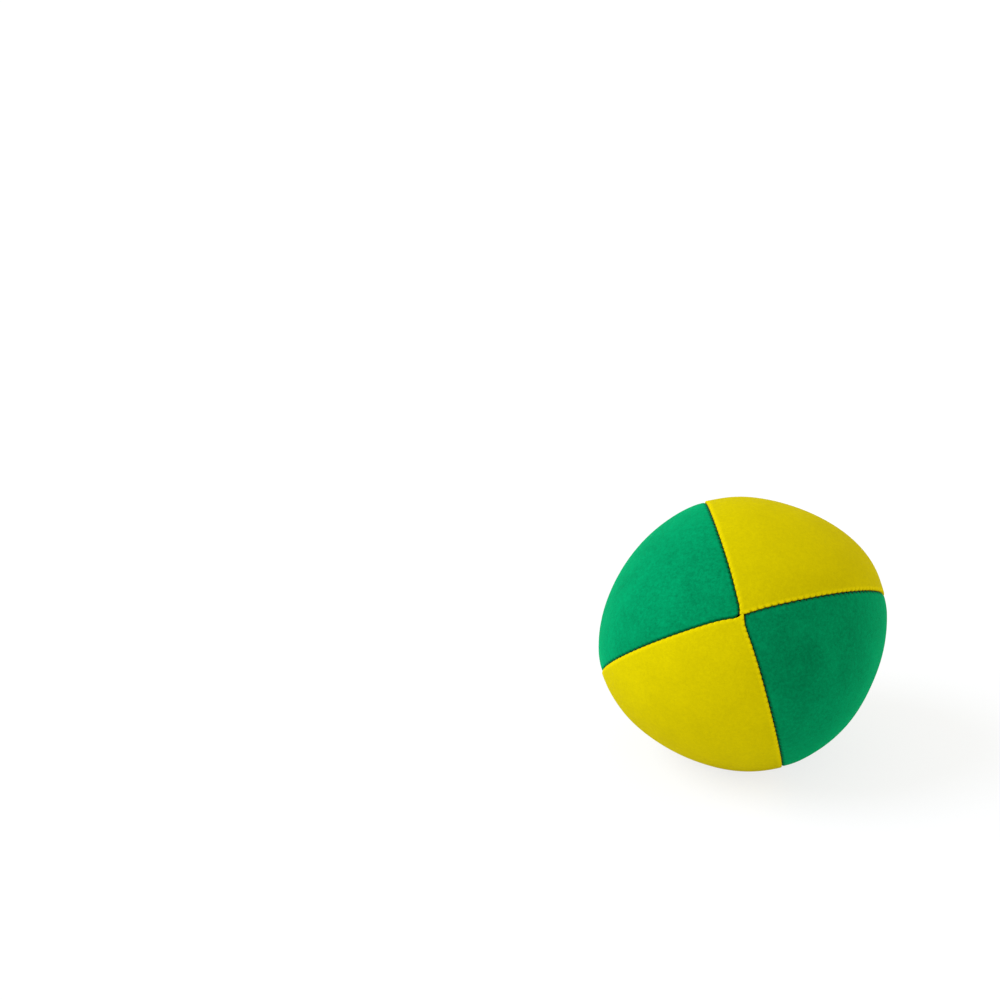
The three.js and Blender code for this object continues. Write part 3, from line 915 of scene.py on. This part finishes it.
def twisted_plies(tree, given):
    """Three plies twisted round each other along a curve."""
    wide = given["Thread Diameter"]
    route = add_node(tree, "GeometryNodeResampleCurve", {
        "Curve": given["Geometry"], "Length": given["Step"]}, mode="LENGTH")
    along = add_node(tree, "GeometryNodeSplineParameter").outputs["Length"]
    turns = add_node(tree, "ShaderNodeMath", {0: along, 1: given["Ply Turn"]},
                     operation="DIVIDE")
    normal = add_node(tree, "GeometryNodeInputNormal")
    tangent = add_node(tree, "GeometryNodeInputTangent")
    beside = add_node(tree, "ShaderNodeVectorMath", {0: tangent, 1: normal},
                      operation="CROSS_PRODUCT")
    off = add_node(tree, "ShaderNodeMath", {0: wide, 1: PLY_OFFSET}, operation="MULTIPLY")
    thick = add_node(tree, "ShaderNodeMath", {0: wide, 1: PLY_RADIUS}, operation="MULTIPLY")
    section = add_node(tree, "GeometryNodeCurvePrimitiveCircle", {
        "Resolution": 5, "Radius": thick})
    joined = add_node(tree, "GeometryNodeJoinGeometry")
    for ply in range(3):
        turned = add_node(tree, "ShaderNodeMath", {
            0: turns, 1: 2 * math.pi, 2: 2 * math.pi * ply / 3}, operation="MULTIPLY_ADD")
        parts = []
        for operation, axis in (("COSINE", normal), ("SINE", beside)):
            wave = add_node(tree, "ShaderNodeMath", {0: turned}, operation=operation)
            reach = add_node(tree, "ShaderNodeMath", {0: wave, 1: off}, operation="MULTIPLY")
            parts.append(add_node(tree, "ShaderNodeVectorMath", {0: axis, "Scale": reach},
                                  operation="SCALE"))
        aside = add_node(tree, "ShaderNodeVectorMath", {0: parts[0], 1: parts[1]},
                         operation="ADD")
        moved = add_node(tree, "GeometryNodeSetPosition", {
            "Geometry": route, "Offset": aside})
        swept = add_node(tree, "GeometryNodeCurveToMesh", {
            "Curve": moved, "Profile Curve": section, "Fill Caps": True})
        tree.links.new(swept.outputs[0], joined.inputs[0])
    return joined


def thread_piece(settings, name, path):
    """A twisted thread along a path, as a finished piece."""
    curve = bpy.data.curves.new(f"{name}_route", "CURVE")
    curve.dimensions = "3D"
    line = curve.splines.new("POLY")
    line.points.add(len(path) - 1)
    line.points.foreach_set("co", np.concatenate(
        [path, np.ones((len(path), 1))], 1).astype(np.float32).reshape(-1))
    source = bpy.data.objects.new(f"{name}_route", curve)
    bpy.context.scene.collection.objects.link(source)
    tree = geometry_tree("twisted_thread", twisted_plies, dict.fromkeys(
        ("Thread Diameter", "Ply Turn", "Step"), "NodeSocketFloat"))
    sewing = settings.sewing
    mesh = grown(source, tree, {
        "Thread Diameter": sewing.thread, "Ply Turn": sewing.ply_turn,
        "Step": sewing.ply_turn / 5,
        "Material": material("polyester_thread", polyester_thread, sewing),
    }, f"{name}_plied")
    return finished(mesh, "sewing_thread", name)


# Materials


def material(name, finish, *given):
    """The material of that name, made by its finish the first time it is asked for."""
    made = bpy.data.materials.get(name)
    if not made:
        made = bpy.data.materials.new(name)
        made.use_nodes = True
        tree = made.node_tree
        tree.nodes.clear()
        add_node(tree, "ShaderNodeOutputMaterial", {"Surface": finish(tree, *given)})
    return made


def shade(base, factor):
    return (*(min(1.0, part * factor) for part in base), 1.0)


def brushed_suede(tree, cloth, tint):
    """Knitted microfibre with a brushed face: matt, with a soft glow of its own colour where
    the nap is seen edge on, faint clouds where it lies this way or that and a fine fleck. Light
    and shade are painted into its colour too: each panel is made lighter or darker for the side
    the light falls on, the yellow fold edges get a painted highlight, and the green fold edges,
    the grooves and the stitch dimples get painted shade."""
    light, dark, painted_fold_colour = (
        getattr(cloth, f"{tint}_{part}") for part in ("light", "dark", "edge"))
    place = add_node(tree, "ShaderNodeTexCoord").outputs["Object"]
    # Patches of about 9 mm where a hand has stroked the nap this way or that, tufts of about
    # 0.8 mm that cling together, and the nap. Real nap is about 0.05 mm thick, which is too
    # fine to show, so it is drawn at 0.3 mm
    clouds, tufts, nap = (
        add_node(tree, "ShaderNodeTexNoise", {
            "Vector": place, "Scale": 1 / size, "Detail": detail, "Roughness": mix,
            "Distortion": bend})
        for size, detail, mix, bend in (
            (0.009, 3, 0.55, 0.5), (0.0008, 4, 0.62, 0), (0.0003, 5, 0.75, 0))
    )
    weights = ((clouds, 0.9), (tufts, 1.4), (nap, 1.6))
    tone = 0.5 - sum(weight for _, weight in weights) / 2
    for texture, weight in weights:
        tone = add_node(tree, "ShaderNodeMath", {0: texture, 1: weight, 2: tone},
                        operation="MULTIPLY_ADD")
    nap_tone_and_painted_light = add_node(tree, "ShaderNodeMix", {
        "Factor": tone, "A": shade(dark, 1), "B": shade(light, 1)},
        data_type="RGBA")
    # Painted light and shade: the panel's colour is scaled by its own factor, lighter for the lit
    # green panel and darker for the shaded one
    lay = add_node(tree, "ShaderNodeAttribute", attribute_name="nap_lay")
    nap_tone_and_painted_light = add_node(tree, "ShaderNodeVectorMath", {
        0: nap_tone_and_painted_light, "Scale": lay.outputs["Fac"]}, operation="SCALE")
    # Painted light at the folds: a painted highlight along the yellow fold edges, and painted
    # shade along the green ones, which lie under the yellow
    beside = add_node(tree, "ShaderNodeAttribute", attribute_name="seam_distance")
    edge_width = getattr(cloth, f"{tint}_edge_width")
    edge = add_node(tree, "ShaderNodeMapRange", {
        "Value": beside.outputs["Fac"], "From Min": 0.35 * edge_width,
        "From Max": edge_width, "To Min": 0.85, "To Max": 0.0},
        interpolation_type="SMOOTHSTEP")
    painted_fold_shading = add_node(tree, "ShaderNodeMix", {
        "Factor": edge, "A": nap_tone_and_painted_light,
        "B": shade(painted_fold_colour, 1)}, data_type="RGBA")
    # Painted shade inside the groove and in each stitch's dimple, darker with depth and at its
    # full from 0.5 mm deep
    sunk = add_node(tree, "ShaderNodeAttribute", attribute_name="groove_depth")
    groove = add_node(tree, "ShaderNodeMapRange", {
        "Value": sunk.outputs["Fac"], "From Min": getattr(cloth, f"{tint}_shade"),
        "From Max": 0.00050, "To Min": 0.0, "To Max": 0.5},
        interpolation_type="SMOOTHSTEP")
    shaded = add_node(tree, "ShaderNodeMix", {
        "Factor": groove, "A": painted_fold_shading, "B": shade(dark, 0.4)},
        data_type="RGBA")
    relief = add_node(tree, "ShaderNodeMath", {
        0: tufts, 1: 0.8, 2: nap}, operation="MULTIPLY_ADD")
    bump = add_node(tree, "ShaderNodeBump", {
        "Height": relief, "Strength": 0.6, "Distance": 0.00010})
    rough = add_node(tree, "ShaderNodeMapRange", {
        "Value": tufts, "To Min": 0.86, "To Max": 1.0})
    return add_node(tree, "ShaderNodeBsdfPrincipled", {
        "Base Color": shaded, "Roughness": rough,
        "Specular IOR Level": 0.02, "Sheen Weight": getattr(cloth, f"{tint}_bloom"),
        "Sheen Roughness": 0.5,
        "Sheen Tint": shade(light, 1 / max(light)),
        "Normal": bump})


def polyester_thread(tree, sewing):
    """Spun polyester sewing thread: dark, slightly glossy fibres twisted into plies."""
    place = add_node(tree, "ShaderNodeTexCoord").outputs["Object"]
    fibre = add_node(tree, "ShaderNodeTexNoise", {
        "Vector": place, "Scale": 1 / 0.00012, "Detail": 3})
    base = sewing.thread_colour
    mixed = add_node(tree, "ShaderNodeMix", {
        "Factor": fibre, "A": shade(base, 0.6), "B": shade(base, 2.2)},
        data_type="RGBA")
    bump = add_node(tree, "ShaderNodeBump", {
        "Height": fibre, "Strength": 0.4, "Distance": 0.00003})
    return add_node(tree, "ShaderNodeBsdfPrincipled", {
        "Base Color": mixed, "Roughness": 0.6,
        "Specular IOR Level": 0.3, "Normal": bump})


def hulled_millet(tree, millet):
    """Dry hulled millet: smooth, slightly glossy seeds from straw to gold."""
    place = add_node(tree, "ShaderNodeTexCoord").outputs["Object"]
    tone = add_node(tree, "ShaderNodeAttribute", attribute_name="grain_tone")
    speck = add_node(tree, "ShaderNodeTexNoise", {
        "Vector": place, "Scale": 1 / 0.0004, "Detail": 3})
    mixed = add_node(tree, "ShaderNodeMath", {
        0: speck, 1: 0.35, 2: tone.outputs["Fac"]}, operation="MULTIPLY_ADD")
    hue = add_node(tree, "ShaderNodeMix", {
        "Factor": mixed, "A": shade(millet.husk, 1),
        "B": shade(millet.kernel, 1)}, data_type="RGBA")
    bump = add_node(tree, "ShaderNodeBump", {
        "Height": speck, "Strength": 0.2, "Distance": 0.00004})
    return add_node(tree, "ShaderNodeBsdfPrincipled", {
        "Base Color": hue, "Roughness": 0.42, "Normal": bump})


def looked_at(tree):
    """The node whose value is 1 where the camera looks, straight or by way of a shiny or
    clear surface, and 0 for the light on other things."""
    path = add_node(tree, "ShaderNodeLightPath").outputs
    seen = path["Is Camera Ray"]
    for other in ("Is Glossy Ray", "Is Transmission Ray"):
        seen = add_node(tree, "ShaderNodeMath", {0: seen, 1: path[other]},
                        operation="MAXIMUM")
    return seen


def pale_floor(tree):
    """Matt white paper: shows white to the camera where light falls on it fully, and keeps
    the bag's soft shadow."""
    paper = add_node(tree, "ShaderNodeBsdfDiffuse", {"Color": (0.86, 0.86, 0.86, 1)})
    plain = add_node(tree, "ShaderNodeBsdfDiffuse", {"Color": (0.22, 0.22, 0.22, 1)})
    glow = add_node(tree, "ShaderNodeEmission", {"Color": (1, 1, 1, 1), "Strength": 0.78})
    lifted = add_node(tree, "ShaderNodeAddShader", {0: plain, 1: glow})
    return add_node(tree, "ShaderNodeMixShader", {
        0: looked_at(tree), 1: paper, 2: lifted})


# Millet


def strewn_grains(tree, given):
    """Grains strewn over a surface, on top of the mass that they cover. Each is a little
    flatter than it is wide, and has its own size and tone."""
    wide, seed = given["Grain Width"], given["Seed"]
    normal = add_node(tree, "GeometryNodeInputNormal")
    sink = add_node(tree, "ShaderNodeMath", {0: wide, 1: -0.8}, operation="MULTIPLY")
    inward = add_node(tree, "ShaderNodeVectorMath", {0: normal, "Scale": sink},
                      operation="SCALE")
    mass = add_node(tree, "GeometryNodeSetPosition", {
        "Geometry": given["Geometry"], "Offset": inward})
    # The density is more than there is room for, so that the spacing decides
    strewn = add_node(tree, "GeometryNodeDistributePointsOnFaces", {
        "Mesh": mass, "Distance Min": given["Spacing"], "Density Max": 900000.0,
        "Seed": seed}, distribute_method="POISSON")
    ball = add_node(tree, "GeometryNodeMeshIcoSphere", {"Subdivisions": 1})
    half = add_node(tree, "ShaderNodeMath", {0: wide, 1: 0.5}, operation="MULTIPLY")
    flatter = add_node(tree, "ShaderNodeMath", {0: wide, 1: 0.4}, operation="MULTIPLY")
    size = add_node(tree, "ShaderNodeCombineXYZ", {0: half, 1: half, 2: flatter})
    vary = add_node(tree, "FunctionNodeRandomValue", {
        "Min": 0.85, "Max": 1.08, "Seed": seed}, data_type="FLOAT")
    scaled = add_node(tree, "ShaderNodeVectorMath", {0: size, "Scale": vary},
                      operation="SCALE")
    turned = add_node(tree, "FunctionNodeRandomValue", {
        "Min": (0, 0, 0), "Max": (math.tau, math.tau, math.tau), "Seed": seed},
        data_type="FLOAT_VECTOR")
    rotation = add_node(tree, "FunctionNodeEulerToRotation", {"Euler": turned})
    grains = add_node(tree, "GeometryNodeInstanceOnPoints", {
        "Points": strewn, "Instance": ball, "Rotation": rotation, "Scale": scaled})
    tone = add_node(tree, "FunctionNodeRandomValue", {
        "Min": 0.0, "Max": 0.8, "Seed": seed}, data_type="FLOAT")
    toned = add_node(tree, "GeometryNodeStoreNamedAttribute", {
        "Geometry": grains, "Name": "grain_tone", "Value": tone},
        data_type="FLOAT", domain="INSTANCE")
    both = add_node(tree, "GeometryNodeJoinGeometry", {0: toned})
    tree.links.new(mass.outputs[0], both.inputs[0])
    return both


# Operators


class Step:
    """What the bag's operators share: each builds with the scene and its settings."""

    def execute(self, context):
        self.build(context.scene, context.scene.beanbag)
        return {"FINISHED"}


class BEANBAG_OT_sew_panels(Step, bpy.types.Operator):
    """Cut, fold and round the four suede panels"""

    bl_idname = "beanbag.sew_panels"
    bl_label = "Sew the panels"

    def build(self, scene, settings):
        blown = BlownShell(SewnBall(settings.shape))
        for name, (quarter, tint, *form) in PANELS.items():
            cut = PanelCut(settings, blown, quarter, tint, *form)
            suede = material(f"brushed_{tint}_suede", brushed_suede, settings.cloth, tint)
            piece = finished(cut.mesh(f"{name}_suede"), f"{tint}_suede", name, made_of=suede)


class BEANBAG_OT_machine_seams(Step, bpy.types.Operator):
    """Lay the needle and bobbin threads of the three machine sewn runs"""

    bl_idname = "beanbag.machine_seams"
    bl_label = "Stitch the machine seams"

    def build(self, scene, settings):
        ring = SeamPlane(settings, (1, 0, 0), (0, 1, 0))
        left, _ = seam_stitches(settings, "left")
        right, hand = seam_stitches(settings, "right")
        before, after = right[right < hand[0]], right[right > hand[-1]]
        round_about = np.concatenate([
            after, 2 * math.pi - left[::-1], 2 * math.pi + before,
        ])
        pair, _ = seam_stitches(settings, "upper")
        runs = {
            "ring_seam": (ring, round_about),
            "upper_seam": (SeamPlane(settings, (0, 1, 0), (1, 0, 0)), pair),
            "lower_seam": (SeamPlane(settings, (0, -1, 0), (-1, 0, 0)), pair),
        }
        for name, (plane, angles) in runs.items():
            for thread, side in (("needle", 1), ("bobbin", -1)):
                path = lockstitch_path(settings, plane, angles, side)
                thread_piece(settings, f"{name}_{thread}_thread", path)


class BEANBAG_OT_closing_seam(Step, bpy.types.Operator):
    """Sew up the filling gap by hand with a knotted ladder stitch"""

    bl_idname = "beanbag.closing_seam"
    bl_label = "Close the filling gap"

    def build(self, scene, settings):
        ring = SeamPlane(settings, (1, 0, 0), (0, 1, 0))
        thread_piece(settings, "closing_thread", closing_path(settings, ring))


class BEANBAG_OT_pour_millet(Step, bpy.types.Operator):
    """Fill the bag with millet"""

    bl_idname = "beanbag.pour_millet"
    bl_label = "Pour in the millet"

    def build(self, scene, settings):
        millet = settings.millet
        node = frame["nodes"]["millet_fill"]
        mesh = welded(node.data.copy())
        source = bpy.data.objects.new("millet_mass", mesh)
        scene.collection.objects.link(source)
        tree = geometry_tree("millet_grains", strewn_grains, {
            "Grain Width": "NodeSocketFloat", "Spacing": "NodeSocketFloat",
            "Seed": "NodeSocketInt"})
        grains = grown(source, tree, {
            "Grain Width": millet.grain, "Spacing": millet.spacing, "Seed": millet.seed,
            "Material": material("hulled_millet", hulled_millet, millet),
        }, "millet_grains")
        finished(grains, "millet_grain", "millet_fill")


class BEANBAG_OT_build_stage(Step, bpy.types.Operator):
    """Set up the floor, the lights and the camera"""

    bl_idname = "beanbag.build_stage"
    bl_label = "Build the stage"

    def build(self, scene, settings):
        studio = settings.studio
        floor = bpy.data.meshes.new("floor")
        wide = 4.0  # metres from its middle to each side
        floor.from_pydata(
            [(-wide, -wide, 0), (wide, -wide, 0), (wide, wide, 0), (-wide, wide, 0)],
            [], [(0, 1, 2, 3)])
        floor.materials.append(material("pale_floor", pale_floor))
        ground = bpy.data.objects.new("floor", floor)
        scene.collection.objects.link(ground)
        for name in ("key", "rim"):
            self.softbox(scene, studio, name)
        self.world(scene, studio)
        self.camera(scene, studio, Vector((0, 0, SewnBall(settings.shape).floor)))
        scene.view_settings.view_transform = "Standard"

    def softbox(self, scene, studio, name):
        """A lamp so far off that it lights floor and bag evenly. At a level of 1 a white
        sheet that faces it is just white."""
        lamp = bpy.data.lights.new(f"{name}_softbox", "SUN")
        lamp.energy = getattr(studio, name) * math.pi
        lamp.color = getattr(studio, f"{name}_tint")
        lamp.angle = studio.softness
        holder = bpy.data.objects.new(lamp.name, lamp)
        height, side = getattr(studio, f"{name}_height"), getattr(studio, f"{name}_side")
        holder.rotation_euler = Euler((QUARTER - height, 0, side), "XYZ")
        scene.collection.objects.link(holder)

    def world(self, scene, studio):
        """Plain white all round: full white where it is seen, and softer as light."""
        scene.world = bpy.data.worlds.new("white_studio")
        scene.world.use_nodes = True
        tree = scene.world.node_tree
        tree.nodes.clear()
        level = add_node(tree, "ShaderNodeMix", {
            "Factor": looked_at(tree), "A": shade(studio.ambient_tint, studio.ambient),
            "B": (1, 1, 1, 1)}, data_type="RGBA")
        back = add_node(tree, "ShaderNodeBackground", {"Color": level})
        add_node(tree, "ShaderNodeOutputWorld", {"Surface": back})

    def camera(self, scene, studio, middle):
        """The photograph's own view, with the bag off to the lower right of its middle."""
        lens = bpy.data.cameras.new("camera")
        lens.sensor_width = 36
        lens.lens = studio.lens
        lens.clip_start = 0.01
        holder = bpy.data.objects.new("camera", lens)
        rise = studio.elevation
        holder.location = middle + studio.distance * Vector((0, -math.cos(rise), math.sin(rise)))
        holder.rotation_euler = Euler((QUARTER - studio.pitch, 0, studio.swing), "XYZ")
        scene.collection.objects.link(holder)
        scene.camera = holder


class BEANBAG_PT_workbench(bpy.types.Panel):
    """Lists the steps that make the bag"""

    bl_idname = "BEANBAG_PT_workbench"
    bl_label = "Juggling beanbag"
    bl_space_type = "VIEW_3D"
    bl_region_type = "UI"
    bl_category = "Beanbag"

    def draw(self, context):
        for step in STEPS:
            self.layout.operator(step.bl_idname)
        settings = context.scene.beanbag
        for group in ("shape", "cloth", "sewing", "millet", "studio"):
            box = self.layout.box()
            part = getattr(settings, group)
            box.label(text=settings.bl_rna.properties[group].name)
            for name in part.__annotations__:
                box.prop(part, name)


STEPS = (
    BEANBAG_OT_build_stage,
    BEANBAG_OT_sew_panels,
    BEANBAG_OT_machine_seams,
    BEANBAG_OT_closing_seam,
    BEANBAG_OT_pour_millet,
)
GROUPS = (BagShape, SuedeCloth, Sewing, MilletGrain, Studio, BagSettings)


def register():
    for item in (*GROUPS, *STEPS, BEANBAG_PT_workbench):
        bpy.utils.register_class(item)
    bpy.types.Scene.beanbag = PointerProperty(type=BagSettings)


def unregister():
    del bpy.types.Scene.beanbag
    for item in reversed((*GROUPS, *STEPS, BEANBAG_PT_workbench)):
        bpy.utils.unregister_class(item)


def main():
    register()
    bpy.ops.beanbag.build_stage()
    bpy.ops.beanbag.sew_panels()
    bpy.ops.beanbag.machine_seams()
    bpy.ops.beanbag.closing_seam()
    bpy.ops.beanbag.pour_millet()


if __name__ == "__main__":
    main()
